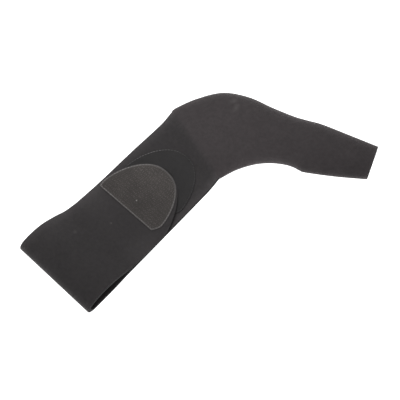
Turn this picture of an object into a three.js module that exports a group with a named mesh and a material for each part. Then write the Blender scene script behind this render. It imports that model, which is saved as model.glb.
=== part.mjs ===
// Thumb splint of soft neoprene, lying flat with its wrist strap folded back on itself.
// Millimetres, +Z up, underside on Z = 0. +X runs along the thumb sleeve to its open tip.
import * as THREE from 'three';

// Cloth and clearance
const CLOTH = 3;
const GAP = 0.3;

// Headings in plan, degrees from +X
const STRAP_TURN = 62.3;
const CREASE_TURN = 49;

// Strap: how far the fold lies from the crease, and the loop it makes there.
// The cloth turns tightly up to the fold turn, over a slack crest to the slope turn, and back to level
const STRAP_REACH = 151.4;
const FOLD_RADIUS = 6.2;
const FOLD_TURN = 160;
const CREST_RADIUS = 30;
const SLOPE_TURN = 203;
const LEVEL_RADIUS = 20;
const TONGUE_REACH = 120.6;
const TONGUE_DEPTH = 45;
const RAMP_LENGTH = 17;

// Strap edges either side of its middle line, by distance along the cloth from the crease
const STRAP_EDGES = [
  { path: 0, left: 31.9, right: 32.3 },
  { path: 14, left: 31.7, right: 33.0 },
  { path: 42, left: 32.1, right: 33.8 },
  { path: 77, left: 32.0, right: 34.7 },
  { path: 107, left: 33.1, right: 35.4 },
  { path: 122, left: 33.9, right: 36.1 },
  { path: 144, left: 35.0, right: 36.5 },
  { path: 156, left: 35.3, right: 36.8 },
  { path: 168, left: 35.1, right: 36.3 },
  { path: 182, left: 34.5, right: 35.6 },
  { path: 192, left: 33.7, right: 35.0 },
  { path: 204, left: 32.1, right: 35.1 },
  { path: 216, left: 30.8, right: 35.6 },
  { path: 238, left: 30.1, right: 35.6 },
  { path: 282, left: 30.9, right: 32.8 },
];

// Round ends of the tongue and the tapes: flanks nearly straight, nose full
const END_ALONG = 1.6;
const END_ACROSS = 2.2;

// D-shaped tapes: a round end, widest at the belly, cut off straight behind it.
// Start is the straight edge's distance from the fold, depth the nose's distance from the straight edge,
// half the half width at the belly, tilt the straight edge's slope across the strap,
// lean how far the nose lies to the left, and tape the thickness
const HOOK = { start: 76.9, depth: 43.1, side: 0, half: 28.9, tilt: 0.024, lean: -0.4, tape: 1.2 };
const LOOP = { start: 98.4, depth: 42.3, side: -1.5, half: 28, tilt: 0, lean: 0, tape: 1 };
const TAPE_BELLY = 6;

// Corners of the D: how far a side is drawn in at the straight edge, and the depth at which it is full
const LEFT_CORNER = { drawn: 0.8, full: 0.8 };
const RIGHT_CORNER = { drawn: 2.7, full: 8 };

// Thumb sleeve sections from the crease to the tip: middle, heading, flat width, height of the crown
const SLEEVE_SECTIONS = [
  { x: 0, y: 0, turn: 49, width: 66.6, crown: 11.4 },
  { x: 1.9, y: 2.8, turn: 48.2, width: 67.6, crown: 11.7 },
  { x: 13.1, y: 13.4, turn: 43.9, width: 66.5, crown: 13.0 },
  { x: 28.2, y: 22.7, turn: 38.4, width: 64.3, crown: 14.5 },
  { x: 44.2, y: 25.8, turn: 32.8, width: 56.9, crown: 14.8 },
  { x: 59.7, y: 24.8, turn: 26.5, width: 47.3, crown: 14.4 },
  { x: 71.2, y: 23.5, turn: 14.6, width: 41.5, crown: 13.9 },
  { x: 80.0, y: 22.7, turn: 4.2, width: 41.1, crown: 13.5 },
  { x: 88.0, y: 22.4, turn: -4.1, width: 41.5, crown: 13.1 },
  { x: 110.2, y: 22.4, turn: -4.8, width: 35.6, crown: 12.2 },
  { x: 134.0, y: 23.1, turn: -3.8, width: 27.6, crown: 11.2 },
];
const SIDE_HEIGHT = 4.8;
const TOP_POWER = 2.4;
const BASE_POWER = 3.4;
const BASE_PRESS = 0.4;

// Fineness of the facets
const SHEET_COLUMNS = 10;
const SLEEVE_STEPS = 30;
const SLEEVE_SIDES = 36;

const rad = THREE.MathUtils.degToRad;
const SKEW = rad(STRAP_TURN - CREASE_TURN);
const FOLD_X = FOLD_RADIUS + CLOTH / 2;
const LOWER_LENGTH = STRAP_REACH - FOLD_X;
const UPPER_Z = CLOTH + GAP + LOOP.tape + GAP + CLOTH / 2;

// Smooth value of one table column at a fractional row
function columnAt(rows, key, place) {
  const last = rows.length - 1;
  const row = Math.min(Math.floor(place), last - 1);
  const t = place - row;
  const p0 = rows[Math.max(row - 1, 0)][key];
  const p1 = rows[row][key];
  const p2 = rows[row + 1][key];
  const p3 = rows[Math.min(row + 2, last)][key];
  const a = 2 * p1;
  const b = p2 - p0;
  const c = 2 * p0 - 5 * p1 + 4 * p2 - p3;
  const d = 3 * p1 - p0 - 3 * p2 + p3;
  return 0.5 * (a + b * t + c * t * t + d * t * t * t);
}

// Fractional row of a table at a value of its first column
function rowAt(rows, key, value) {
  const after = rows.findIndex((row, i) => i > 0 && value <= row[key]);
  const hi = after < 0 ? rows.length - 1 : after;
  const from = rows[hi - 1][key];
  const to = rows[hi][key];
  return hi - 1 + THREE.MathUtils.clamp((value - from) / (to - from), 0, 1);
}

// Solid from vertices and quads
function solid(points, quads) {
  const index = [];
  for (const [a, b, c, d] of quads) {
    index.push(a, b, c, a, c, d);
  }
  const geometry = new THREE.BufferGeometry();
  const flat = points.flatMap((p) => [p.x, p.y, p.z]);
  geometry.setAttribute('position', new THREE.Float32BufferAttribute(flat, 3));
  geometry.setIndex(index);
  geometry.computeVertexNormals();
  return geometry;
}

// Closed sheet between an upper and a lower grid of points
function closedSheet(rows, columns, upper, lower) {
  const points = [];
  const wide = columns + 1;
  const count = (rows + 1) * wide;
  for (const face of [upper, lower]) {
    for (let i = 0; i <= rows; i += 1) {
      for (let j = 0; j <= columns; j += 1) {
        points.push(face(i, j));
      }
    }
  }
  const up = (i, j) => i * wide + j;
  const low = (i, j) => count + i * wide + j;
  const quads = [];
  for (let i = 0; i < rows; i += 1) {
    for (let j = 0; j < columns; j += 1) {
      quads.push([up(i, j), up(i, j + 1), up(i + 1, j + 1), up(i + 1, j)]);
      quads.push([low(i, j), low(i + 1, j), low(i + 1, j + 1), low(i, j + 1)]);
    }
    quads.push([up(i, 0), up(i + 1, 0), low(i + 1, 0), low(i, 0)]);
    quads.push([up(i + 1, columns), up(i, columns), low(i, columns), low(i + 1, columns)]);
  }
  for (let j = 0; j < columns; j += 1) {
    quads.push([up(0, j + 1), up(0, j), low(0, j), low(0, j + 1)]);
    quads.push([up(rows, j), up(rows, j + 1), low(rows, j + 1), low(rows, j)]);
  }
  return solid(points, quads);
}

// Closed tube wall between an outer and an inner set of rings, open at both ends
function closedTube(steps, sides, outer, inner) {
  const points = [];
  const count = (steps + 1) * sides;
  for (const face of [outer, inner]) {
    for (let i = 0; i <= steps; i += 1) {
      for (let k = 0; k < sides; k += 1) {
        points.push(face(i, k));
      }
    }
  }
  const out = (i, k) => i * sides + (k % sides);
  const inn = (i, k) => count + i * sides + (k % sides);
  const quads = [];
  for (let k = 0; k < sides; k += 1) {
    for (let i = 0; i < steps; i += 1) {
      quads.push([out(i, k), out(i, k + 1), out(i + 1, k + 1), out(i + 1, k)]);
      quads.push([inn(i, k), inn(i + 1, k), inn(i + 1, k + 1), inn(i, k + 1)]);
    }
    quads.push([out(0, k), inn(0, k), inn(0, k + 1), out(0, k + 1)]);
    quads.push([out(steps, k + 1), inn(steps, k + 1), inn(steps, k), out(steps, k)]);
  }
  return solid(points, quads);
}

// Sleeve section at a fractional row of its table
function sleeveSection(place) {
  const section = {};
  for (const key of ['x', 'y', 'turn', 'width', 'crown']) {
    section[key] = columnAt(SLEEVE_SECTIONS, key, place);
  }
  return section;
}

// Point of a sleeve section: round on top, pressed flat where it lies, moved in by the wall for the inside
function sleevePoint(section, angle, inset) {
  const c = Math.cos(angle);
  const s = Math.sin(angle);
  const power = s >= 0 ? TOP_POWER : BASE_POWER;
  const rise = s >= 0 ? section.crown - SIDE_HEIGHT : SIDE_HEIGHT + BASE_PRESS;
  const side = (section.width / 2 - inset) * Math.sign(c) * Math.abs(c) ** (2 / power);
  const up = SIDE_HEIGHT + (rise - inset) * Math.sign(s) * Math.abs(s) ** (2 / power);
  const turn = rad(section.turn);
  const x = section.x - side * Math.sin(turn);
  const y = section.y + side * Math.cos(turn);
  return new THREE.Vector3(x, y, Math.max(up, inset));
}

// Height of the sleeve's outside above a point of the crease, by distance from its middle
function creaseCrest(side) {
  const { width, crown } = SLEEVE_SECTIONS[0];
  const reach = Math.min(Math.abs(side) / (width / 2), 1);
  return SIDE_HEIGHT + (crown - SIDE_HEIGHT) * (1 - reach ** TOP_POWER) ** (1 / TOP_POWER);
}

// Lift of the flat run where it climbs to the crease, steepest near the top and level again at the crest
function rampLift(x, y) {
  const away = (STRAP_REACH + y * Math.tan(SKEW) - x) * Math.cos(SKEW);
  const climb = THREE.MathUtils.clamp(1 - away / RAMP_LENGTH, 0, 1);
  const share = climb ** 4 * (5 - 4 * climb);
  return (creaseCrest(y / Math.cos(SKEW)) - CLOTH) * share;
}

// Where a bend leads to. A point of the fold seen from its side has a place, a height,
// a heading turned from the flat run, and its distance along the cloth
function bendTo(from, radius, heading) {
  return {
    x: from.x - radius * (Math.sin(heading) - Math.sin(from.heading)),
    z: from.z - radius * (Math.cos(heading) - Math.cos(from.heading)),
    heading,
    path: from.path + radius * (heading - from.heading),
  };
}

// Where a straight stretch leads to
function runOn(from, length) {
  return {
    x: from.x - length * Math.cos(from.heading),
    z: from.z + length * Math.sin(from.heading),
    heading: from.heading,
    path: from.path + length,
  };
}

// Fold: tight turn, slack crest, slope down, and turn back to level
const SLOPE = rad(SLOPE_TURN - 180);
const turnStart = { x: FOLD_X, z: CLOTH / 2, heading: 0, path: LOWER_LENGTH };
const crestStart = bendTo(turnStart, FOLD_RADIUS, rad(FOLD_TURN));
const slopeStart = bendTo(crestStart, CREST_RADIUS, rad(SLOPE_TURN));
const slopeDrop = slopeStart.z - UPPER_Z - LEVEL_RADIUS * (1 - Math.cos(SLOPE));
const slopeEnd = runOn(slopeStart, slopeDrop / Math.sin(SLOPE));
const levelStart = bendTo(slopeEnd, -LEVEL_RADIUS, Math.PI);
const STRETCHES = [
  { from: turnStart, radius: FOLD_RADIUS },
  { from: crestStart, radius: CREST_RADIUS },
  { from: slopeStart },
  { from: slopeEnd, radius: -LEVEL_RADIUS },
  { from: levelStart },
];
const STRAP_LENGTH = levelStart.path + TONGUE_REACH - levelStart.x;

// Middle line of the strap past the flat run
function strapLine(path) {
  const { from, radius } = STRETCHES.findLast((stretch) => stretch.from.path <= path);
  const gone = path - from.path;
  return radius ? bendTo(from, radius, from.heading + gone / radius) : runOn(from, gone);
}

// Share of the full width left at a share of a round end's length
function roundEnd(share) {
  return Math.max(1 - share ** END_ALONG, 0) ** (1 / END_ACROSS);
}

// Point of the strap across its width, lifted off its middle line along the inner face's normal
function strapPoint(path, across, offset) {
  const place = rowAt(STRAP_EDGES, 'path', path);
  const left = columnAt(STRAP_EDGES, 'left', place);
  const right = columnAt(STRAP_EDGES, 'right', place);
  const past = Math.max(path - (STRAP_LENGTH - TONGUE_DEPTH), 0) / TONGUE_DEPTH;
  const y = (left - right) / 2 + across * roundEnd(past) * (left + right) / 2;
  if (path <= LOWER_LENGTH) {
    const end = STRAP_REACH + y * Math.tan(SKEW) - GAP / Math.cos(SKEW);
    const x = FOLD_X + (end - FOLD_X) * (1 - path / LOWER_LENGTH);
    return new THREE.Vector3(x, y, CLOTH / 2 + rampLift(x, y) + offset);
  }
  const { x, z, heading } = strapLine(path);
  return new THREE.Vector3(x + offset * Math.sin(heading), y, z + offset * Math.cos(heading));
}

// Distances along the strap at which it is faceted: close together where it bends and at its round end
function strapRows() {
  const spans = [
    { to: RAMP_LENGTH * 1.2, steps: 12 },
    { to: LOWER_LENGTH, steps: 8 },
    { to: crestStart.path, steps: 14 },
    { to: slopeStart.path, steps: 7 },
    { to: slopeEnd.path, steps: 3 },
    { to: levelStart.path, steps: 5 },
    { to: STRAP_LENGTH - TONGUE_DEPTH, steps: 4 },
  ];
  const rows = [0];
  let from = 0;
  for (const { to, steps } of spans) {
    for (let i = 1; i <= steps; i += 1) {
      rows.push(from + (to - from) * i / steps);
    }
    from = to;
  }
  const tips = 14;
  for (let i = 1; i <= tips; i += 1) {
    rows.push(from + TONGUE_DEPTH * Math.sin(rad(86) * i / tips));
  }
  return rows;
}

// Width that a corner takes off at a depth from the straight edge
function drawnIn(corner, depth) {
  return corner.drawn * Math.max(1 - depth / corner.full, 0) ** 1.5;
}

// Left and right edges of a D tape at a depth from its straight edge
function tapeSides(tape, depth) {
  const half = tape.half * roundEnd(Math.abs(depth - TAPE_BELLY) / (tape.depth - TAPE_BELLY));
  return { left: half - drawnIn(LEFT_CORNER, depth), right: drawnIn(RIGHT_CORNER, depth) - half };
}

// D tape laid on a surface whose height is given in plan
function tapeOn(tape, height) {
  const depths = [0, LEFT_CORNER.full / 2, LEFT_CORNER.full, TAPE_BELLY / 2, TAPE_BELLY];
  const steps = 14;
  for (let i = 1; i <= steps; i += 1) {
    depths.push(TAPE_BELLY + (tape.depth - TAPE_BELLY) * Math.sin(rad(86) * i / steps));
  }
  const point = (lift) => (i, j) => {
    const depth = depths[i];
    const { left, right } = tapeSides(tape, depth);
    const across = THREE.MathUtils.lerp(left, right, j / SHEET_COLUMNS);
    const x = tape.start + depth - across * tape.tilt;
    const y = tape.side + across + tape.lean * depth / tape.depth;
    return new THREE.Vector3(x, y, height(x, y) + lift);
  };
  return closedSheet(depths.length - 1, SHEET_COLUMNS, point(GAP + tape.tape), point(GAP));
}

function piece(name, geometry, color, roughness) {
  const material = new THREE.MeshStandardMaterial({ color, roughness, metalness: 0 });
  const mesh = new THREE.Mesh(geometry, material);
  mesh.name = name;
  return mesh;
}

// Wrist strap
const rows = strapRows();
const strapFace = (offset) => (i, j) => strapPoint(rows[i], 2 * j / SHEET_COLUMNS - 1, offset);
const strapSolid = closedSheet(rows.length - 1, SHEET_COLUMNS, strapFace(CLOTH / 2), strapFace(-CLOTH / 2));
const wristStrap = piece('wrist_strap', strapSolid, 0x2b2829, 0.9);

// Tapes on the tongue and on the flat run
const hookSolid = tapeOn(HOOK, () => UPPER_Z + CLOTH / 2);
const hookTab = piece('hook_tab', hookSolid, 0x37332f, 0.8);
const loopSolid = tapeOn(LOOP, (x, y) => CLOTH + rampLift(x, y));
const loopPatch = piece('loop_patch', loopSolid, 0x211f20, 1);

// Thumb sleeve
const sleeveFace = (inset) => (i, k) => {
  const place = (SLEEVE_SECTIONS.length - 1) * i / SLEEVE_STEPS;
  return sleevePoint(sleeveSection(place), 2 * Math.PI * k / SLEEVE_SIDES, inset);
};
const sleeveSolid = closedTube(SLEEVE_STEPS, SLEEVE_SIDES, sleeveFace(0), sleeveFace(CLOTH));
const thumbSleeve = piece('thumb_sleeve', sleeveSolid, 0x2e2a2b, 0.9);

// Strap side turned to its heading, with the middle of the crease on the sleeve's first section
const strapSide = new THREE.Group();
strapSide.name = 'strap_side';
strapSide.rotation.z = rad(STRAP_TURN);
strapSide.position.set(-STRAP_REACH * Math.cos(rad(STRAP_TURN)), -STRAP_REACH * Math.sin(rad(STRAP_TURN)), 0);
strapSide.add(wristStrap, hookTab, loopPatch);

// Whole splint, centred over the origin
const splint = new THREE.Group();
splint.name = 'splint';
splint.add(strapSide, thumbSleeve);
splint.updateMatrixWorld(true);
const middle = new THREE.Box3().setFromObject(splint, true).getCenter(new THREE.Vector3());
splint.position.set(-middle.x, -middle.y, 0);

const part = new THREE.Group();
part.name = 'thumb_splint';
part.add(splint);

export default part;
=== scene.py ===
# %% [markdown]
# # A soft thumb splint
# The splint is sewn from black neoprene: foam rubber about 3 mm thick with nylon jersey on both faces. A
# wide wrist strap comes out of a humped thumb sleeve, folds over and lies back on itself. A stitched D of
# hook tape sits on its tongue, and a D of loop tape on the strap below. The frame gives the real size of
# each piece, and the cells below cut, fold and finish each one in the place that the frame holds for it.

# %% Load the frame
import math
import random

import bmesh
import bpy
from mathutils import Matrix, Vector


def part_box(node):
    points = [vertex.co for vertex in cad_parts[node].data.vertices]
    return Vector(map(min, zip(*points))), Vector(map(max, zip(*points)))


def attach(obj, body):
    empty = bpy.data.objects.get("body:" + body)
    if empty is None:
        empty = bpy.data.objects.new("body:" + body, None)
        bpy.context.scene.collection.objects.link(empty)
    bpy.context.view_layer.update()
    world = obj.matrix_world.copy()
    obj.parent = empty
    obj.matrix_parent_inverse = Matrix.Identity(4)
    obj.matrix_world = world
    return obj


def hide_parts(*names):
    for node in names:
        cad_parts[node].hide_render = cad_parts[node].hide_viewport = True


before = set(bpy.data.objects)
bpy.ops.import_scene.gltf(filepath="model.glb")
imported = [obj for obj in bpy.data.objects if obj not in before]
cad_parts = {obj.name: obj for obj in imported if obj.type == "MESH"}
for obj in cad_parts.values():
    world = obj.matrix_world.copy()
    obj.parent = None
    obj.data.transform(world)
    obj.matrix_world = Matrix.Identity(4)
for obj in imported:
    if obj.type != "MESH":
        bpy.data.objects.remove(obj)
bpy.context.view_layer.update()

MM = 0.001
print("nodes in the frame:", sorted(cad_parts))

# %% [markdown]
# ## Where things lie in plan
# Everything is measured from the middle of the crease, where the strap meets the sleeve. The frame tells
# where that is: the sleeve's box ends at the tip on one side and at the hump on the other, and both are a
# known distance from the crease. The strap has axes of its own, x from the fold towards the sleeve and y to
# its left.

# %% Plan axes
TIP_REACH = 134.915
HUMP_REACH = 49.844
STRAP_TURN = math.radians(62.3)
CREASE_TURN = math.radians(49)
STRAP_REACH = 151.4
SKEW = STRAP_TURN - CREASE_TURN

sleeve_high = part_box("thumb_sleeve")[1]
crease = Vector((sleeve_high[0] - TIP_REACH * MM, sleeve_high[1] - HUMP_REACH * MM, 0.0))


def from_crease(x, y, z):
    """Millimetres from the crease, along the frame's own axes, as a place in the frame."""
    return crease + Vector((x, y, z)) * MM


def from_strap(x, y, z):
    """Millimetres on the strap's own axes as a place in the frame."""
    along = x - STRAP_REACH
    c, s = math.cos(STRAP_TURN), math.sin(STRAP_TURN)
    return from_crease(along * c - y * s, along * s + y * c, z)


print("crease at", [round(v, 4) for v in crease])

# %% [markdown]
# ## Camera
# The splint was seen from above and a little in front, with a long lens, so the strap's sides hardly
# converge. The camera is added and aimed at the point of the table that lies in the middle of the picture.

# %% Camera
VIEW_FROM_CREASE = (15.5, -40.56)
VIEW_AZIMUTH = math.radians(16)
VIEW_ELEVATION = math.radians(68)
VIEW_DISTANCE = 1.2
LENS = 142.7
SENSOR = 36.0


def deselect():
    """Leave nothing selected, because an operator acts on all that is selected."""
    bpy.ops.object.select_all(action="DESELECT")


aim = from_crease(*VIEW_FROM_CREASE, 0.0)
level = math.cos(VIEW_ELEVATION)
back = Vector((math.sin(VIEW_AZIMUTH) * level, -math.cos(VIEW_AZIMUTH) * level, math.sin(VIEW_ELEVATION)))
deselect()
bpy.ops.object.camera_add(location=aim + back * VIEW_DISTANCE)
camera = bpy.context.object
camera.rotation_euler = (-back).to_track_quat("-Z", "Y").to_euler()
camera.data.lens = LENS
camera.data.sensor_width = SENSOR
bpy.context.scene.camera = camera
print("camera", [round(v, 3) for v in camera.location])

# %% [markdown]
# ## Table and light
# The table is a plain white sheet that glows of its own, as a light table does, so it stays white, the
# shadows stay faint, and the sides of the cloth are lit from below. One soft lamp hangs low to the upper
# left of the hump, which makes the cloth under it the palest and lets the strap go darker towards its fold.
# A white card in front throws some light back on the fold, and a small low one at the right shines into its
# hollow. Another low one behind at the right lights the far side of the sleeve. The white world fills in
# the rest, and plain Standard colours keep the tones as lit.

# %% White table
TABLE_SIZE = 6.0
TABLE_DROP = 0.0002
TABLE_GREY = 0.35
TABLE_GLOW = 1.5
WHITE = (1, 1, 1, 1)

scene = bpy.context.scene
scene.view_settings.view_transform = "Standard"
deselect()
bpy.ops.mesh.primitive_plane_add(size=TABLE_SIZE, location=(0, 0, -TABLE_DROP))
table = bpy.context.object
table.name = "white_table"
table_finish = bpy.data.materials.new("white_table")
table_finish.use_nodes = True
table_shader = table_finish.node_tree.nodes["Principled BSDF"].inputs
table_shader["Base Color"].default_value = (TABLE_GREY, TABLE_GREY, TABLE_GREY, 1)
table_shader["Roughness"].default_value = 0.9
table_shader["Emission Color"].default_value = WHITE
table_shader["Emission Strength"].default_value = TABLE_GLOW
table.data.materials.append(table_finish)
print("table", TABLE_SIZE, "m wide")

# %% Soft light
WORLD_GLOW = 0.2
world = bpy.data.worlds.new("studio")
world.use_nodes = True
world_light = world.node_tree.nodes["Background"].inputs
world_light["Color"].default_value = WHITE
world_light["Strength"].default_value = WORLD_GLOW
scene.world = world

# Name, place in metres from the middle of the picture, size and watts
LIGHTS = [
    ("soft_lamp", (-0.06, 0.09, 0.30), 0.14, 0.825),
    ("white_card", (-0.25, -0.50, 0.2), 0.4, 0.55),
    ("low_card", (0.15, -0.32, 0.03), 0.05, 0.25),
    ("far_card", (0.28, 0.30, 0.032), 0.05, 0.3),
]


def soft_light(name, from_aim, size, watts):
    """A square lamp that faces the middle of the picture and isn't seen itself."""
    deselect()
    bpy.ops.object.light_add(type="AREA", location=aim + Vector(from_aim))
    made = bpy.context.object
    made.name = name
    made.rotation_euler = Vector(from_aim).to_track_quat("Z", "Y").to_euler()
    made.data.size = size
    made.data.energy = watts
    made.visible_camera = False
    print(name, [round(v, 3) for v in made.location])


for light in LIGHTS:
    soft_light(*light)

# %% [markdown]
# ## Helpers for shader nodes
# A node is added with its settings, and its sockets take either a value or another node's output. Sums,
# products, ramps and noise come up in every finish, so each has a helper of one line or two. That keeps
# each material short enough to read as a recipe.

# %% Shader helpers


def fill(tree, inputs, sockets):
    """Give sockets, by number or by name, a value or a link."""
    for key, value in sockets.items():
        if isinstance(value, bpy.types.NodeSocket):
            tree.links.new(value, inputs[key])
        else:
            inputs[key].default_value = value


def add_node(tree, kind, settings=None, **sockets):
    """Add a node, fill its sockets by number (i0) or by name (from_min), and give its outputs."""
    made = tree.nodes.new(kind)
    for key, value in (settings or {}).items():
        setattr(made, key, value)
    for key, value in sockets.items():
        numbered = key[0] == "i" and key[1:].isdigit()
        fill(tree, made.inputs, {int(key[1:]) if numbered else key.replace("_", " ").title(): value})
    return made.outputs


def maths(tree, operation, first, second=0.0, third=0.0):
    """One Math node with up to three inputs."""
    return add_node(tree, "ShaderNodeMath", {"operation": operation}, i0=first, i1=second, i2=third)[0]


def times(tree, product, *factors):
    """Values multiplied together."""
    for factor in factors:
        product = maths(tree, "MULTIPLY", product, factor)
    return product


def ramp(tree, value, zero_at, one_at, kind="LINEAR"):
    """A mask that goes from 0 to 1 between two values and stays there beyond them."""
    ends = {"from_min": zero_at, "from_max": one_at}
    return add_node(tree, "ShaderNodeMapRange", {"interpolation_type": kind}, value=value, **ends)["Result"]


def noise(tree, place, scale, detail, roughness=0.5):
    """The value of a noise texture at a place."""
    grain = {"scale": scale, "detail": detail, "roughness": roughness}
    return add_node(tree, "ShaderNodeTexNoise", vector=place, **grain)["Fac"]


def new_group(name, places, values, results):
    """An empty shader group: places and plain values go in, and values come out."""
    tree = bpy.data.node_groups.new(name, "ShaderNodeTree")
    for label in places:
        tree.interface.new_socket(label, in_out="INPUT", socket_type="NodeSocketVector")
    for label in values:
        tree.interface.new_socket(label, in_out="INPUT", socket_type="NodeSocketFloat")
    for label in results:
        tree.interface.new_socket(label, in_out="OUTPUT", socket_type="NodeSocketFloat")
    ends = tree.nodes.new("NodeGroupInput"), tree.nodes.new("NodeGroupOutput")
    return tree, ends[0].outputs, ends[1].inputs


def use_group(tree, group, **sockets):
    """Place a group in a material with its own values."""
    return add_node(tree, "ShaderNodeGroup", {"node_tree": group}, **sockets)


# %% [markdown]
# ## Jersey knit
# The nylon face of neoprene is a fine jersey: columns of small V stitches, about 0.7 mm wide. Each V has
# two legs, so the height has two ridges in a column, and the rows slant towards the middle of the column.
# The group reads the cloth's own flat coordinates, so the columns follow the strap round its fold.

# %% Jersey knit group
LEG_HEIGHT = 0.28
ROW_HEIGHT = 0.22
MIDDLE_HEIGHT = 0.5
ROW_SLANT = 1.6


def jersey_group():
    group, given, result = new_group("jersey_knit", ["Cloth"], ["Column", "Row"], ["Height", "Groove"])
    parts = add_node(group, "ShaderNodeSeparateXYZ", i0=given["Cloth"])
    across = maths(group, "DIVIDE", parts[0], given["Column"])
    along = maths(group, "DIVIDE", parts[1], given["Row"])
    aside = maths(group, "ABSOLUTE", maths(group, "SUBTRACT", maths(group, "FRACT", across), 0.5))
    from_leg = maths(group, "SUBTRACT", aside, 0.25)
    legs = maths(group, "COSINE", times(group, from_leg, 4 * math.pi))
    slanted = maths(group, "MULTIPLY_ADD", aside, ROW_SLANT, along)
    rows = maths(group, "COSINE", times(group, slanted, 2 * math.pi))
    height = maths(group, "MULTIPLY_ADD", legs, LEG_HEIGHT, MIDDLE_HEIGHT)
    height = maths(group, "MULTIPLY_ADD", rows, ROW_HEIGHT, height)
    group.links.new(height, result["Height"])
    group.links.new(maths(group, "SUBTRACT", 1.0, height), result["Groove"])
    return group


jersey = jersey_group()
print("group", jersey.name, "with", len(jersey.nodes), "nodes")

# %% [markdown]
# ## Uneven tone, lint and soft places
# Black cloth is never one flat black. It has faint clouds where the nap lies differently, a few light
# specks of lint, and a pale bloom where it has been rubbed. Each is a group that gives a mask or a factor,
# and each material mixes them in with its own amounts. The mask of a soft place also sets where painted
# highlight and painted shade go.

# %% Tone, lint and rub groups
BREAK_UP = 420.0
HOLE_START = 0.62
HOLE_FULL = 0.42


def tone_group():
    group, given, result = new_group("uneven_tone", ["Place"], ["Patch", "Amount"], ["Factor"])
    cloud = noise(group, given["Place"], maths(group, "DIVIDE", 1.0, given["Patch"]), 3.0, 0.6)
    swing = maths(group, "SUBTRACT", cloud, 0.5)
    factor = maths(group, "MULTIPLY_ADD", swing, times(group, given["Amount"], 2.0), 1.0)
    group.links.new(factor, result["Factor"])
    return group


def lint_group():
    group, given, result = new_group("lint_specks", ["Place"], ["Spacing", "Speck", "Share"], ["Mask"])
    per_metre = maths(group, "DIVIDE", 1.0, given["Spacing"])
    cells = add_node(group, "ShaderNodeTexVoronoi", vector=given["Place"], scale=per_metre)
    pick = add_node(group, "ShaderNodeSeparateColor", i0=cells["Color"])
    near = times(group, cells["Distance"], given["Spacing"])
    inside = maths(group, "LESS_THAN", near, times(group, given["Speck"], pick[1]))
    chosen = maths(group, "LESS_THAN", pick[0], given["Share"])
    group.links.new(times(group, inside, chosen), result["Mask"])
    return group


def soft_place_group():
    group, given, result = new_group("soft_place_mask", ["Place", "Centre"], ["Reach", "Ragged"], ["Mask"])
    measure = {"operation": "DISTANCE"}
    away = add_node(group, "ShaderNodeVectorMath", measure, i0=given["Place"], i1=given["Centre"])["Value"]
    soft = ramp(group, maths(group, "DIVIDE", away, given["Reach"]), 1.0, 0.0, "SMOOTHSTEP")
    holes = ramp(group, noise(group, given["Place"], BREAK_UP, 3.0), HOLE_START, HOLE_FULL)
    left = maths(group, "SUBTRACT", 1.0, times(group, holes, given["Ragged"]))
    group.links.new(times(group, soft, left), result["Mask"])
    return group


tone, lint, soft_place = tone_group(), lint_group(), soft_place_group()
print("groups", tone.name, lint.name, soft_place.name)

# %% [markdown]
# ## Neoprene
# The face is a matt knit with a soft sheen at grazing angles. The base colour is multiplied by the uneven
# tone and by painted shade in the grooves of the knit, and lifted by lint, by a rubbed scuff on the hump, and
# by painted highlights on the strap's edges. The sleeve's cloth is a shade paler than the strap's, and both
# pass into one shade within a few millimetres of the crease, by a distance stored on each piece. The cloth
# also has a painted highlight along its edges and painted shade behind the strap's fold and on the sleeve's
# near side. Their tones are matched, at the edges by a second stored distance and elsewhere by a few soft
# places, one of which is a painted highlight on the strap's left edge. Wear, nap and light look alike there,
# so the cause isn't known and only the tone is matched: at the edges by a second stored distance, and
# elsewhere by a few soft places. The sheen is the same all over, so it is set on the shader itself.

# %% Cloth helpers


def blank_material(name):
    """A new material, its nodes, its shader's inputs and the place on the piece."""
    made = bpy.data.materials.new(name)
    made.use_nodes = True
    tree = made.node_tree
    return made, tree, tree.nodes["Principled BSDF"].inputs, add_node(tree, "ShaderNodeTexCoord")["Object"]


def stored(tree, attribute):
    """A distance that is stored on the piece."""
    return add_node(tree, "ShaderNodeAttribute", {"attribute_name": attribute})["Fac"]


def scaled(tree, colour, factor):
    """A colour multiplied by a factor that varies over the surface."""
    return add_node(tree, "ShaderNodeVectorMath", {"operation": "SCALE"}, i0=colour, scale=factor)[0]


def mixed(tree, colour, other, mask):
    """A colour mixed towards another by a mask."""
    return add_node(tree, "ShaderNodeMix", {"data_type": "RGBA"}, factor=mask, a=colour, b=other)["Result"]


def bumped(tree, height, strength, distance):
    """A normal that follows a small height."""
    return add_node(tree, "ShaderNodeBump", height=height, strength=strength, distance=distance)["Normal"]


def place_factor(tree, place, places):
    """A factor that rises or falls round a few places, each a centre, a reach in metres and a change."""
    factor = 1.0
    for centre, reach, change in places:
        near = use_group(tree, soft_place, place=place, centre=centre, reach=reach)["Mask"]
        factor = maths(tree, "MULTIPLY_ADD", near, change, factor)
    return factor


# %% Neoprene face
WEAR_AND_HIGHLIGHT_COLOUR = (0.12, 0.11, 0.11, 1)
CLOTH_LINT = (0.3, 0.29, 0.28, 1)
CREASE_COLOUR = (0.0398, 0.0356, 0.0368, 1)
CREASE_BLUR = 0.0028
EDGE_REACH = 0.0085
FUZZ_SCALE = 2500.0


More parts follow.
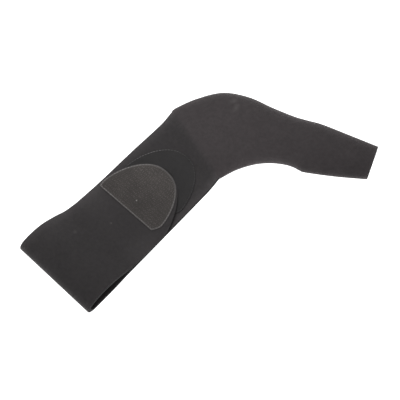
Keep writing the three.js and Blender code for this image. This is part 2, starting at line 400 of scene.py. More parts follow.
def neoprene(name, colour, highlight_strength, wear_and_highlights, painted_shading):
    made, tree, shader, place = blank_material(name)
    cloth = add_node(tree, "ShaderNodeUVMap", {"uv_map": "flat_cloth"})["UV"]
    knit = use_group(tree, jersey, cloth=cloth, column=0.0007, row=0.00055)
    clouds = use_group(tree, tone, place=place, patch=0.016, amount=0.12)["Factor"]
    grain = use_group(tree, tone, place=place, patch=0.0026, amount=0.26)["Factor"]
    # Painted shade in the grooves of the knit
    groove_shade = maths(tree, "MULTIPLY_ADD", knit["Groove"], -0.5, 1.25)
    # Painted highlight along the cloth's edges, by the stored distance from them
    by_edge = ramp(tree, stored(tree, "edge_distance"), EDGE_REACH, 0.0, "SMOOTHSTEP")
    edge_highlight = maths(tree, "MULTIPLY_ADD", by_edge, highlight_strength, 1.0)
    by_crease = ramp(tree, stored(tree, "crease_distance"), CREASE_BLUR, 0.0, "SMOOTHSTEP")
    base = mixed(tree, (*colour, 1), CREASE_COLOUR, by_crease)
    # Painted shade and painted highlight round a few places also multiply the colour
    body = scaled(tree, base, times(tree, clouds, grain, edge_highlight, place_factor(tree, place, painted_shading), groove_shade))
    # Pale places: painted highlights on the strap's edges, small specks, and a rubbed scuff on the hump
    for centre, reach, share, ragged in wear_and_highlights:
        wear_and_highlight = use_group(tree, soft_place, place=place, centre=centre, reach=reach, ragged=ragged)["Mask"]
        body = mixed(tree, body, WEAR_AND_HIGHLIGHT_COLOUR, times(tree, wear_and_highlight, share))
    specks = use_group(tree, lint, place=place, spacing=0.010, speck=0.0005, share=0.35)["Mask"]
    body = mixed(tree, body, CLOTH_LINT, times(tree, specks, 0.35))
    fuzz = noise(tree, place, FUZZ_SCALE, 2.0)
    height = maths(tree, "MULTIPLY_ADD", fuzz, 0.35, knit["Height"])
    rough = maths(tree, "MULTIPLY_ADD", fuzz, 0.2, 0.75)
    normal = bumped(tree, height, 0.6, 0.00012)
    fill(tree, shader, {"Base Color": body, "Roughness": rough, "Normal": normal, "Specular IOR Level": 0.2})
    fill(tree, shader, {"Sheen Weight": 0.16, "Sheen Roughness": 0.4, "Sheen Tint": (1, 0.96, 0.95, 1)})
    return made


# %% Strap and sleeve cloth
STRAP_COLOUR = (0.0355, 0.0326, 0.0335)
SLEEVE_COLOUR = (0.0445, 0.0388, 0.0402)
# Strength of the painted highlight along each cloth's edges
STRAP_EDGE_HIGHLIGHT = 0.5
SLEEVE_EDGE_HIGHLIGHT = 0.33

# Centre, reach in metres, strength and raggedness of each pale place
# On the strap the first three are painted highlights along its edges, and the last two small pale specks
STRAP_SPECKS_AND_HIGHLIGHTS = [
    (from_strap(66, 33, 8), 0.028, 0.16, 0.2),
    (from_strap(62, -36, 8), 0.022, 0.13, 0.2),
    (from_strap(20, 33, 14), 0.022, 0.05, 0.2),
    (from_strap(37.0, 14.0, 10.8), 0.0024, 0.22, 0.0),
    (from_strap(61.2, 0.5, 7.6), 0.0012, 0.45, 0.0),
]
# On the sleeve they are a rubbed scuff on the hump
RUBBED_SLEEVE = [
    (from_crease(19.7, 40.8, 12.2), 0.0040, 0.30, 0.3),
    (from_crease(17.1, 38.7, 12.6), 0.0038, 0.14, 0.3),
    (from_crease(23.0, 36.2, 13.0), 0.0038, 0.30, 0.3),
    (from_crease(22.7, 33.1, 13.3), 0.0034, 0.20, 0.3),
    (from_crease(20.0, 30.2, 13.3), 0.0034, 0.09, 0.3),
]

# Centre, reach in metres and change: painted shade round each place, and one painted highlight on the strap
STRAP_PAINTED_SHADING = [
    (from_strap(28, 3, 14), 0.024, -0.14),
    (from_strap(29, -24, 14), 0.026, -0.15),
    (from_strap(2, -6, 9), 0.017, -0.17),
    (from_strap(2, -26, 9), 0.018, -0.19),
    (from_strap(42, 31, 9), 0.013, 0.14),
]
SLEEVE_PAINTED_SHADE = [
    (from_crease(84, 2, 5), 0.015, -0.15),
    (from_crease(102, 4, 5), 0.016, -0.16),
    (from_crease(121, 7, 5), 0.015, -0.2),
]
strap_face = neoprene("strap_neoprene", STRAP_COLOUR, STRAP_EDGE_HIGHLIGHT, STRAP_SPECKS_AND_HIGHLIGHTS, STRAP_PAINTED_SHADING)
sleeve_face = neoprene("sleeve_neoprene", SLEEVE_COLOUR, SLEEVE_EDGE_HIGHLIGHT, RUBBED_SLEEVE, SLEEVE_PAINTED_SHADE)
print("cloth", strap_face.name, sleeve_face.name)

# %% [markdown]
# ## Foam edge
# Where neoprene is cut, the foam rubber shows between its two jersey faces: dull, nearly black, with fine
# pores. Pores are cells of a Voronoi texture used as bump, at a fifth of a millimetre.

# %% Foam edge
FOAM_COLOUR = (0.022, 0.0213, 0.0215)
PORE_SCALE = 4500.0


def foam_edge():
    made, tree, shader, place = blank_material("foam_edge")
    pores = add_node(tree, "ShaderNodeTexVoronoi", vector=place, scale=PORE_SCALE)["Distance"]
    clouds = use_group(tree, tone, place=place, patch=0.004, amount=0.3)["Factor"]
    fill(tree, shader, {"Base Color": scaled(tree, FOAM_COLOUR, clouds)})
    fill(tree, shader, {"Normal": bumped(tree, pores, 0.7, 0.0001)})
    fill(tree, shader, {"Roughness": 0.95, "Specular IOR Level": 0.15})
    return made


edge_finish = foam_edge()
print("edge", edge_finish.name)

# %% [markdown]
# ## The strap, cut flat
# A strap is easiest to make as the maker does: cut flat, given its thickness, then folded. A grid is added
# with a row for each distance along the cloth, and its rows are set to the strap's edges from a short
# table. One end is cut askew where it meets the sleeve, and the other is rounded to a tongue. Flat x runs
# back from the crease, so it is minus the distance along the cloth.

# %% Strap sizes
CLOTH = 3.0
FOLD_RADIUS = 6.2
FOLD_TURN = math.radians(160)
CREST_RADIUS = 30.0
SLOPE_TURN = math.radians(203)
LEVEL_RADIUS = 20.0
TONGUE_REACH = 120.6
TONGUE_DEPTH = 45.0
TAPE_GAP = 0.3
LOOP_TAPE = 1.0
UPPER_Z = CLOTH + TAPE_GAP + LOOP_TAPE + TAPE_GAP + CLOTH / 2

# Distance along the cloth from the crease, then its left and right edges
STRAP_EDGES = [
    (0, 31.9, 32.3),
    (14, 31.7, 33.0),
    (42, 32.1, 33.8),
    (77, 32.0, 34.7),
    (107, 33.1, 35.4),
    (122, 33.9, 36.1),
    (144, 35.0, 36.5),
    (156, 35.3, 36.8),
    (168, 35.1, 36.3),
    (182, 34.5, 35.6),
    (192, 33.7, 35.0),
    (204, 32.1, 35.1),
    (216, 30.8, 35.6),
    (238, 30.1, 35.6),
    (282, 30.9, 32.8),
]


def smooth_row(rows, value):
    """A table's other columns at a value of its first one, on a smooth curve through the rows."""
    last = len(rows) - 1
    row = max(i for i in range(last) if i == 0 or rows[i][0] <= value)
    t = min(max((value - rows[row][0]) / (rows[row + 1][0] - rows[row][0]), 0.0), 1.0)
    around = [rows[min(max(row + k, 0), last)] for k in (-1, 0, 1, 2)]
    found = []
    for p0, p1, p2, p3 in list(zip(*around))[1:]:
        bend = (2 * p0 - 5 * p1 + 4 * p2 - p3) * t * t + (3 * p1 - p0 - 3 * p2 + p3) * t ** 3
        found.append(0.5 * (2 * p1 + (p2 - p0) * t + bend))
    return found


left, right = smooth_row(STRAP_EDGES, 0)
print("strap", round(left + right, 1), "mm wide at the crease, upper run", round(UPPER_Z, 2), "mm up")

# %% [markdown]
# ## The line of the fold
# Seen from its side, the fold is a chain of stretches: a tight turn, a slack crest, a slope down and a turn
# back to level. Each stretch starts at a distance along the cloth, a place, a height and a heading, and has
# its own radius or none. Adding them up gives the length of cloth that the strap needs.

# %% Line of the fold
FOLD_X = FOLD_RADIUS + CLOTH / 2
LOWER = STRAP_REACH - FOLD_X
SLOPE = SLOPE_TURN - math.pi


def bend_to(start, radius, heading):
    """Where a bend leads: distance along the cloth, place, height and heading."""
    path, x, z, turned = start
    x -= radius * (math.sin(heading) - math.sin(turned))
    z -= radius * (math.cos(heading) - math.cos(turned))
    return path + radius * (heading - turned), x, z, heading


def run_on(start, length):
    """Where a straight stretch leads."""
    path, x, z, heading = start
    return path + length, x - length * math.cos(heading), z + length * math.sin(heading), heading


turn_start = (LOWER, FOLD_X, CLOTH / 2, 0.0)
crest_start = bend_to(turn_start, FOLD_RADIUS, FOLD_TURN)
slope_start = bend_to(crest_start, CREST_RADIUS, SLOPE_TURN)
slope_drop = slope_start[2] - UPPER_Z - LEVEL_RADIUS * (1 - math.cos(SLOPE))
slope_end = run_on(slope_start, slope_drop / math.sin(SLOPE))
level_start = bend_to(slope_end, -LEVEL_RADIUS, math.pi)
FOLD_STRETCHES = [
    (turn_start, FOLD_RADIUS),
    (crest_start, CREST_RADIUS),
    (slope_start, None),
    (slope_end, -LEVEL_RADIUS),
    (level_start, None),
]
TO_LEVEL = level_start[0]
STRAP_LENGTH = TO_LEVEL + TONGUE_REACH - level_start[1]
print("strap length along the cloth", round(STRAP_LENGTH, 1), "mm")

# %% Strap grid
STRAP_COLUMNS = 28
TIP_STEPS = 26
CLIMB_LENGTH = 40
END_ALONG = 1.6
END_ACROSS = 2.2
NOSE_TURN = math.radians(89)


def steps(start, stop, count):
    return [start + (stop - start) * k / count for k in range(1, count + 1)]


def round_end(share):
    """Width left at a share of a round end's length: flanks nearly straight, nose full."""
    return max(1 - abs(share) ** END_ALONG, 0.0) ** (1 / END_ACROSS)


def end_shares(count):
    """Shares of a round end's length, closer together towards its nose."""
    return [math.sin(turn) ** (2 / END_ALONG) for turn in steps(0, NOSE_TURN, count)]


straight = STRAP_LENGTH - TONGUE_DEPTH
strap_rows = [0.0, *steps(0, CLIMB_LENGTH, 32), *steps(CLIMB_LENGTH, LOWER, 40)]
strap_rows += [*steps(LOWER, TO_LEVEL, 44), *steps(TO_LEVEL, straight, 16)]
strap_rows += [straight + TONGUE_DEPTH * share for share in end_shares(TIP_STEPS)]


def add_grid(name, rows, columns):
    """A grid of two units each way, whose vertices stand for whole rows and columns."""
    deselect()
    bpy.ops.mesh.primitive_grid_add(x_subdivisions=rows, y_subdivisions=columns, size=2)
    made = bpy.context.object
    made.name = name
    return made


def extent(piece, digits):
    """Length, width and height of a mesh, from its vertices."""
    spans = [(min(axis), max(axis)) for axis in zip(*(vertex.co for vertex in piece.data.vertices))]
    return [round(high - low, digits) for low, high in spans]


def flat_strap(share_along, share_across):
    """Flat place of a grid vertex: minus the distance along the cloth, and the place across it."""
    path = strap_rows[round((1 - share_along) / 2 * (len(strap_rows) - 1))]
    left, right = smooth_row(STRAP_EDGES, path)
    past = max(path - straight, 0) / TONGUE_DEPTH
    half = (left + right) / 2 * round_end(past)
    across = (left - right) / 2 + share_across * half
    askew = across * math.tan(SKEW) * max(1 - path / LOWER, 0)
    return Vector((askew - path, across, 0.0))


strap = add_grid("strap_cloth", len(strap_rows) - 1, STRAP_COLUMNS)
for vertex in strap.data.vertices:
    vertex.co = flat_strap(vertex.co.x, vertex.co.y)
print("flat strap", extent(strap, 1), "mm")

# %% [markdown]
# ## Wall and rounded edges
# Solidify gives the flat cloth its 3 mm, with the foam material on the rim. The rim's long edges are then
# selected by the angle between their faces and bevelled, because a cut foam edge is slightly round. The end
# at the crease stays square, since the sleeve goes on from there.

# %% Wall and edges
CUT_ROUND = 0.6
CUT_SEGMENTS = 3
SHARP = math.radians(50)
CLOSE = 0.05


def pick_only(piece):
    """Select one piece and make it the active one."""
    deselect()
    piece.select_set(True)
    bpy.context.view_layer.objects.active = piece


def apply_modifier(piece, kind, **settings):
    """Add a modifier, set it and apply it."""
    pick_only(piece)
    made = piece.modifiers.new(kind.lower(), kind)
    for key, value in settings.items():
        setattr(made, key, value)
    bpy.ops.object.modifier_apply(modifier=made.name)


def bevel_sharp(piece, width, segments, keep):
    """Bevel the sharp edges, except those that keep() holds back."""
    pick_only(piece)
    bpy.ops.object.mode_set(mode="EDIT")
    bpy.ops.mesh.select_mode(type="EDGE")
    bpy.ops.mesh.select_all(action="DESELECT")
    shape = bmesh.from_edit_mesh(piece.data)
    for edge in shape.edges:
        sharp = len(edge.link_faces) == 2 and edge.calc_face_angle() > SHARP
        edge.select_set(sharp and not keep(edge.verts[0].co, edge.verts[1].co))
    bmesh.update_edit_mesh(piece.data)
    bpy.ops.mesh.bevel(offset=width, segments=segments, affect="EDGES")
    bpy.ops.object.mode_set(mode="OBJECT")


def at_crease_end(a, b):
    return all(abs(v.x - v.y * math.tan(SKEW)) < CLOSE for v in (a, b))


strap.data.materials.append(strap_face)
strap.data.materials.append(edge_finish)
apply_modifier(strap, "SOLIDIFY", thickness=CLOTH, offset=0.0, material_offset_rim=1)
bevel_sharp(strap, CUT_ROUND, CUT_SEGMENTS, at_crease_end)
print("strap faces", len(strap.data.polygons))

# %% [markdown]
# ## What the cloth remembers
# Before it is bent, each piece of cloth keeps two things that its finish reads later. Its flat places are
# stored as a UV map, in metres, so the knit runs along the cloth. Its distances from the crease and from
# its edges, which take a painted highlight, are stored on its vertices.

# %% Flat places and distances


def keep_flat_places(piece, flat_of):
    """Store flat places, in metres, as the UV map that the cloth's pattern reads."""
    for layer in list(piece.data.uv_layers):
        piece.data.uv_layers.remove(layer)
    layer = piece.data.uv_layers.new(name="flat_cloth")
    for face in piece.data.polygons:
        corners = [piece.data.vertices[v].co for v in face.vertices]
        for loop, place in zip(face.loop_indices, flat_of(corners)):
            layer.data[loop].uv = place


def store_distance(piece, name, distance):
    """Store a distance for each vertex, in metres, for the cloth's colour."""
    away = piece.data.attributes.new(name, "FLOAT", "POINT")
    for vertex in piece.data.vertices:
        away.data[vertex.index].value = distance(vertex.co) * MM


def strap_flat_of(corners):
    return [(c.y * MM, -c.x * MM) for c in corners]


def strap_from_crease(flat):
    return (flat.y * math.tan(SKEW) - flat.x) * math.cos(SKEW)


def strap_from_edge(flat):
    """Distance from the edges with a painted highlight: both sides of the lower run, and the left side of the
    rest.
    """
    left, right = smooth_row(STRAP_EDGES, -flat.x)
    from_left = left - flat.y
    return min(from_left, right + flat.y) if -flat.x < LOWER else from_left


keep_flat_places(strap, strap_flat_of)
store_distance(strap, "crease_distance", strap_from_crease)
store_distance(strap, "edge_distance", strap_from_edge)
print("stored on the strap:", [layer.name for layer in strap.data.uv_layers])

# %% [markdown]
# ## Folding the strap
# Now every vertex is moved: the lower run lies on the table and climbs to the crest of the sleeve at the
# crease, the loop goes round, and the upper run comes back level above the loop tape. A vertex above or
# below the middle of the cloth keeps its height along the cloth's normal, so the wall stays 3 mm thick
# through the bend.

# %% Fold
RAMP_LENGTH = 17.0
SIDE_HEIGHT = 4.8
TOP_POWER = 2.4
CREASE_WIDTH = 66.6
CREASE_CROWN = 11.4
CLOTH_ANGLE = 40


def crease_crest(side):
    """Height of the sleeve's outside along the crease."""
    reach = min(abs(side) / (CREASE_WIDTH / 2), 1.0)
    return SIDE_HEIGHT + (CREASE_CROWN - SIDE_HEIGHT) * (1 - reach ** TOP_POWER) ** (1 / TOP_POWER)


def ramp_lift(x, y):
    """How far the lower run has climbed towards the crease: slowly at first, and level at the end."""
    away = (STRAP_REACH + y * math.tan(SKEW) - x) * math.cos(SKEW)
    climb = min(max(1 - away / RAMP_LENGTH, 0.0), 1.0)
    share = climb ** 4 * (5 - 4 * climb)
    return (crease_crest(y / math.cos(SKEW)) - CLOTH) * share


def strap_line(path):
    """Middle line of the cloth past the lower run: place, height and heading."""
    start, radius = [stretch for stretch in FOLD_STRETCHES if stretch[0][0] <= path][-1]
    gone = path - start[0]
    reached = run_on(start, gone) if radius is None else bend_to(start, radius, start[3] + gone / radius)
    return reached[1:]


def folded(flat):
    """Place in the frame of a point of the flat strap."""
    path, across, height = -flat.x, flat.y, flat.z
    if path <= LOWER:
        x = STRAP_REACH - path
        return from_strap(x, across, CLOTH / 2 + ramp_lift(x, across) + height)
    x, z, heading = strap_line(path)
    return from_strap(x + height * math.sin(heading), across, z + height * math.cos(heading))


def shade(piece, degrees):
    pick_only(piece)
    bpy.ops.object.shade_smooth_by_angle(angle=math.radians(degrees))


for vertex in strap.data.vertices:
    vertex.co = folded(vertex.co)
shade(strap, CLOTH_ANGLE)
print("folded strap", extent(strap, 4), "m")

# %% [markdown]
# ## The thumb sleeve
# The sleeve is a flattened tube with a hump on one side and a hollow on the other. A tube is made straight
# first: a circle extruded along its axis, given its wall, and bevelled at the tip. Then each vertex moves
# to its section: its distance along the tube picks the section from a short table, its angle the place
# round it, and its depth in the wall the inset. The underside is pressed flat where it lies on the table.

# %% Sleeve sections
# Middle of the section from the crease, heading, flat width and height of the crown
SLEEVE_SECTIONS = [
    (0, 0, 49, 66.6, 11.4),
    (1.9, 2.8, 48.2, 67.6, 11.7),
    (13.1, 13.4, 43.9, 66.5, 13.0),
    (28.2, 22.7, 38.4, 64.3, 14.5),
    (44.2, 25.8, 32.8, 56.9, 14.8),
    (59.7, 24.8, 26.5, 47.3, 14.4),
    (71.2, 23.5, 14.6, 41.5, 13.9),
    (80.0, 22.7, 4.2, 41.1, 13.5),
    (88.0, 22.4, -4.1, 41.5, 13.1),
    (110.2, 22.4, -4.8, 35.6, 12.2),
    (134.0, 23.1, -3.8, 27.6, 11.2),
]
BASE_POWER = 3.4
BASE_PRESS = 0.4
TUBE_RADIUS = 20.0
SLEEVE_STEPS = 88
SLEEVE_SIDES = 88

# The same rows with the distance along the middle in front
sleeve_rows = []
run = 0.0
before = SLEEVE_SECTIONS[0]
for section in SLEEVE_SECTIONS:
    run += math.dist(section[:2], before[:2])
    sleeve_rows.append((run, *section))
    before = section
SLEEVE_LENGTH = run
print("sleeve length along its middle", round(SLEEVE_LENGTH, 1), "mm")

# %% Straight tube


def at_mouth(a, b):
    return a.z < CLOSE and b.z < CLOSE


deselect()
bpy.ops.mesh.primitive_circle_add(vertices=SLEEVE_SIDES, radius=TUBE_RADIUS)
sleeve = bpy.context.object
sleeve.name = "sleeve_cloth"
bpy.ops.object.mode_set(mode="EDIT")
bpy.ops.mesh.select_all(action="SELECT")
for _ in range(SLEEVE_STEPS):
    step = (0, 0, SLEEVE_LENGTH / SLEEVE_STEPS)
    bpy.ops.mesh.extrude_region_move(TRANSFORM_OT_translate={"value": step})
bpy.ops.mesh.select_all(action="SELECT")
bpy.ops.mesh.normals_make_consistent(inside=False)
bpy.ops.object.mode_set(mode="OBJECT")
sleeve.data.materials.append(sleeve_face)
sleeve.data.materials.append(edge_finish)
apply_modifier(sleeve, "SOLIDIFY", thickness=CLOTH, offset=-1.0, material_offset_rim=1)
bevel_sharp(sleeve, CUT_ROUND, CUT_SEGMENTS, at_mouth)
print("straight tube faces", len(sleeve.data.polygons))

# %% Sleeve shape
LESS_PALE = 2.0
WEB_END = 62.0


def rounded(wave, power):
    """A sine or cosine drawn out, so that a round section becomes a fuller one."""
    return math.copysign(abs(wave) ** (2 / power), wave)


def sleeve_point(path, angle, inset):
    """Place in the frame of a point of the straight tube."""
    x, y, turn, width, crown = smooth_row(sleeve_rows, path)
    c, s = math.cos(angle), math.sin(angle)
    power = TOP_POWER if s >= 0 else BASE_POWER
    rise = crown - SIDE_HEIGHT if s >= 0 else SIDE_HEIGHT + BASE_PRESS
    side = (width / 2 - inset) * rounded(c, power)
    up = SIDE_HEIGHT + (rise - inset) * rounded(s, power)
    turn = math.radians(turn)
    return from_crease(x - side * math.sin(turn), y + side * math.cos(turn), max(up, inset))


def sleeve_flat_of(corners):
    angles = [math.atan2(c.y, c.x) % (2 * math.pi) for c in corners]
    if max(angles) - min(angles) > math.pi:
        angles = [a + 2 * math.pi if a < math.pi else a for a in angles]
    return [(a * TUBE_RADIUS * MM, c.z * MM) for a, c in zip(angles, corners)]


def sleeve_from_edge(tube):
    """Distance from the edges with a painted highlight: the hump's side, the hollow's near the strap, and the
    tip.
    """
    half = smooth_row(sleeve_rows, tube.z)[3] / 2
    side = half * rounded(math.cos(math.atan2(tube.y, tube.x)), TOP_POWER)
    from_hollow = half + side + max(tube.z - WEB_END, 0.0)
    return min(half - side, from_hollow + LESS_PALE, SLEEVE_LENGTH - tube.z + LESS_PALE)


keep_flat_places(sleeve, sleeve_flat_of)
store_distance(sleeve, "crease_distance", lambda tube: tube.z)
store_distance(sleeve, "edge_distance", sleeve_from_edge)
for vertex in sleeve.data.vertices:
    tube = vertex.co
    inset = TUBE_RADIUS - math.hypot(tube.x, tube.y)
    vertex.co = sleeve_point(tube.z, math.atan2(tube.y, tube.x), min(max(inset, 0.0), CLOTH))
shade(sleeve, CLOTH_ANGLE)
print("sleeve", extent(sleeve, 4), "m")

# %% [markdown]
# ## Hook and loop tapes
# Both tapes are cut as a D: a round end like the tongue's, cut off straight. The hook tape's D is a little
# wider and sewn on slightly askew. Each is a grid whose rows are set to the D's width at their depth, given
# the tape's thickness and a small bevel. Only the base of each is cut here: the hooks are modelled later,
# and the pile is left to the finish.

# %% Tape sizes and cut
TAPE_BELLY = 6.0
TAPE_COLUMNS = 26
TAPE_ROWS = 24
TAPE_ROUND = 0.15
HOOK = {"start": 76.9, "depth": 43.1, "side": 0.0, "half": 28.9, "tilt": 0.024, "lean": -0.4}
LOOP = {"start": 98.4, "depth": 42.3, "side": -1.5, "half": 28.0, "tilt": 0.0, "lean": 0.0}
HOOK_BASE = 0.6
LOOP_BASE = 0.7

# How far the sides are drawn in at the straight edge, and the depth at which they are full
LEFT_CORNER = (0.8, 0.8)
RIGHT_CORNER = (2.7, 8.0)
CORNER_POWER = 1.5


def tape_depths(tape, count):
    """Depths from a D's straight edge, close together in its corners and at its nose."""
    corner = LEFT_CORNER[1]
    corners = [0.0, *steps(0, corner, 5), *steps(corner, TAPE_BELLY, 8)]
    return corners + [TAPE_BELLY + (tape["depth"] - TAPE_BELLY) * share for share in end_shares(count)]


def drawn_in(corner, depth):
    """Width that a corner takes off at a depth from the straight edge."""
    most, full = corner
    return most * max(1 - depth / full, 0.0) ** CORNER_POWER


def tape_sides(tape, depth):
    """Left and right edges of a D at a depth from its straight edge."""
    half = tape["half"] * round_end((depth - TAPE_BELLY) / (tape["depth"] - TAPE_BELLY))
    return half - drawn_in(LEFT_CORNER, depth), drawn_in(RIGHT_CORNER, depth) - half


def on_tape(tape, depth, across):
    """A point of a D on the strap's axes. The straight edge may be tilted, and the nose may lean aside."""
    along = tape["start"] + depth - across * tape["tilt"]
    return along, tape["side"] + across + tape["lean"] * depth / tape["depth"]


def cut_tape(name, tape, thickness):
    rows = tape_depths(tape, TAPE_ROWS)
    made = add_grid(name, len(rows) - 1, TAPE_COLUMNS)
    for vertex in made.data.vertices:
        depth = rows[round((vertex.co.x + 1) / 2 * (len(rows) - 1))]
        left, right = tape_sides(tape, depth)
        across = right + (left - right) * (vertex.co.y + 1) / 2
        vertex.co = Vector((*on_tape(tape, depth, across), 0.0))
    apply_modifier(made, "SOLIDIFY", thickness=thickness, offset=1.0)
    bevel_sharp(made, TAPE_ROUND, 2, lambda a, b: False)
    print(name, extent(made, 1), "mm")
    return made


hook_tape = cut_tape("hook_tape", HOOK, HOOK_BASE)
loop_tape = cut_tape("loop_tape", LOOP, LOOP_BASE)

# %% [markdown]
# ## Laying the tapes
# The tapes have a plain woven rim about a millimetre and a half wide, where the stitching goes. To let a
# material know where the rim is, each vertex stores its distance to the D's outline. Then the hook tape is
# laid level on the tongue. The loop tape is draped over the lower run, so its end follows the start of the
# climb to the crease.

# %% Rim and lay
OUTLINE_ROWS = 100
STRAIGHT_STEPS = 40


def tape_outline(tape, inset, count):
    """Points round the D, moved in from its edge, as places on the strap's axes."""
    sides = [(depth, *tape_sides(tape, depth)) for depth in tape_depths(tape, count)]
    edge = [Vector((depth, left)) for depth, left, right in sides]
    edge += [Vector((depth, right)) for depth, left, right in reversed(sides)]
    moved = []
    for before, here, after in zip(edge[:1] + edge, edge, edge[1:] + edge[-1:]):
        along = (after - before).normalized()
        place = here + inset * Vector((along.y, -along.x))
        if place.x >= inset:
            moved.append(place)
    first, last = moved[0].y, moved[-1].y
    shares = [k / STRAIGHT_STEPS for k in range(STRAIGHT_STEPS + 1)]
    moved += [Vector((inset, last + (first - last) * share)) for share in shares]
    return [on_tape(tape, p.x, p.y) for p in moved]


def from_outline(tape):
    """A function that gives the distance from a D's outline."""
    outline = tape_outline(tape, 0.0, OUTLINE_ROWS)
    return lambda place: min(math.hypot(place.x - x, place.y - y) for x, y in outline)


def tape_flat_of(corners):
    return [(c.y * MM, c.x * MM) for c in corners]


def on_tongue(x, y):
    return UPPER_Z + CLOTH / 2 + TAPE_GAP / 2


def on_lower_run(x, y):
    return CLOTH + TAPE_GAP / 2 + ramp_lift(x, y)


for piece, tape, height in ((hook_tape, HOOK, on_tongue), (loop_tape, LOOP, on_lower_run)):
    keep_flat_places(piece, tape_flat_of)
    store_distance(piece, "rim_distance", from_outline(tape))
    for vertex in piece.data.vertices:
        x, y, z = vertex.co
        vertex.co = from_strap(x, y, height(x, y) + z)
    shade(piece, CLOTH_ANGLE)
    print(piece.name, extent(piece, 4), "m")

# %% [markdown]
# ## Tape finishes
# The hook tape's ground is a plain weave, a little warmer and paler than the cloth. The loop tape's face is
# a dark felt of tangled filament. Both turn to plain weave at the rim, by the stored distance. One small
# pale speck, taken as fluff, sits among the hooks.

# %% Tape materials
RIM_START = 0.0010
RIM_END = 0.0016
NAP_SCALE = 1500.0
TAPE_LINT = (0.4, 0.39, 0.38, 1)
FLUFF_COLOUR = (0.55, 0.535, 0.52, 1)
FLUFF_REACH = 0.0008
FLUFF = from_strap(87, -0.7, 8.6)


def weave_group():
    group, given, result = new_group("plain_weave", ["Cloth"], ["Thread"], ["Height"])
    waves = []
    for part in add_node(group, "ShaderNodeSeparateXYZ", i0=given["Cloth"])[:2]:
        turn = times(group, maths(group, "DIVIDE", part, given["Thread"]), math.pi)
        waves.append(maths(group, "SINE", turn))
    over = times(group, *waves)
    group.links.new(maths(group, "MULTIPLY_ADD", over, 0.5, 0.5), result["Height"])
    return group


weave = weave_group()


def with_fluff(tree, body, place):
    """A colour with the speck of fluff on it."""
    fluff = use_group(tree, soft_place, place=place, centre=FLUFF, reach=FLUFF_REACH)["Mask"]
    return mixed(tree, body, FLUFF_COLOUR, fluff)


def tape_material(name, field, border, fuzz, sheen, places=(), fluffy=False):
    made, tree, shader, place = blank_material(name)
    cloth = add_node(tree, "ShaderNodeUVMap", {"uv_map": "flat_cloth"})["UV"]
    clouds = use_group(tree, tone, place=place, patch=0.008, amount=0.3)["Factor"]
    threads = use_group(tree, weave, cloth=cloth, thread=0.0006)["Height"]
    nap = noise(tree, place, NAP_SCALE, 4.0)
    shadow = maths(tree, "MULTIPLY_ADD", nap, 0.6, 0.7)
    base = mixed(tree, border, field, ramp(tree, stored(tree, "rim_distance"), RIM_START, RIM_END))
    body = scaled(tree, base, times(tree, clouds, shadow, place_factor(tree, place, places)))
    specks = use_group(tree, lint, place=place, spacing=0.0115, speck=0.0004, share=0.3)["Mask"]
    body = mixed(tree, body, TAPE_LINT, times(tree, specks, 0.6))
    if fluffy:
        body = with_fluff(tree, body, place)
    height = maths(tree, "MULTIPLY_ADD", nap, fuzz, threads)
    fill(tree, shader, {"Base Color": body, "Normal": bumped(tree, height, 0.8, 0.0002)})
    fill(tree, shader, {"Roughness": 0.8, "Specular IOR Level": 0.3, "Sheen Weight": sheen})
    return made


# %% Hook and loop finishes
HOOK_FIELD = (0.0487, 0.0434, 0.041, 1)
HOOK_BORDER = (0.08, 0.0745, 0.0725, 1)
LOOP_FIELD = (0.0235, 0.0221, 0.0225, 1)
LOOP_BORDER = (0.026, 0.0245, 0.0249, 1)

# The hooks are paler towards the nose and darker by the middle of the straight edge
HOOK_PLACES = [(from_strap(112, 6, 9), 0.030, 0.24), (from_strap(88, -2, 9), 0.018, -0.16)]

hook_ground = tape_material("hook_tape", HOOK_FIELD, HOOK_BORDER, 0.4, 0.05, HOOK_PLACES, fluffy=True)
loop_ground = tape_material("loop_tape", LOOP_FIELD, LOOP_BORDER, 1.2, 0.06)
hook_tape.data.materials.append(hook_ground)
loop_tape.data.materials.append(loop_ground)
print("tapes", hook_ground.name, loop_ground.name)

# %% [markdown]
# ## Hooks
# Hook tape is a field of tiny bent nylon hairs, in rows that lean one way and the other in turn. One hook
# is modelled: a small ring is extruded up for the stem and spun over for the hook. A function copies it all
# over the D inside the plain rim, each copy with its own lean, and every second row faces the other way.

# %% One hook
HAIR = 0.15
STEM = 0.4
BOW = 0.3
BOW_TURN = math.radians(165)

deselect()
bpy.ops.mesh.primitive_circle_add(vertices=5, radius=HAIR)
hook = bpy.context.object
bpy.ops.object.mode_set(mode="EDIT")
bpy.ops.mesh.select_all(action="SELECT")
bpy.ops.mesh.extrude_region_move(TRANSFORM_OT_translate={"value": (0, 0, STEM)})
bpy.ops.mesh.spin(steps=4, angle=BOW_TURN, center=(BOW, 0, STEM), axis=(0, 1, 0))
bpy.ops.mesh.edge_face_add()
bpy.ops.mesh.select_all(action="SELECT")
bpy.ops.mesh.remove_doubles(threshold=0.001)
bpy.ops.mesh.normals_make_consistent(inside=False)
bpy.ops.object.mode_set(mode="OBJECT")
print("hook", extent(hook, 2), "mm,", len(hook.data.polygons), "faces")

# %% Field of hooks
HOOK_PITCH = 1.65
HOOK_ROW = 1.4
HOOK_STRAY = 0.4
HOOK_TWIST = 0.9
HOOK_LEAN = 0.4
HOOK_SIZES = (0.7, 1.1)
HOOK_SUNK = 0.05
PLAIN_RIM = 1.9
chance = random.Random(7)


def copies_of(name, pattern, turns):
    """One mesh of many copies of a small pattern mesh, each placed by its own matrix."""
    points = [v.co.copy() for v in pattern.data.vertices]
    faces = [list(f.vertices) for f in pattern.data.polygons]
    all_points, all_faces = [], []
    for turn in turns:
        first = len(all_points)
        all_points += [turn @ p for p in points]
        all_faces += [[first + v for v in face] for face in faces]
    mesh = bpy.data.meshes.new(name)
    mesh.from_pydata(all_points, [], all_faces)
    made = bpy.data.objects.new(name, mesh)
    scene.collection.objects.link(made)
    bpy.data.objects.remove(pattern)
    return made


def either_way(most):
    """A chance value up to a limit, to either side."""
    return chance.uniform(-most, most)


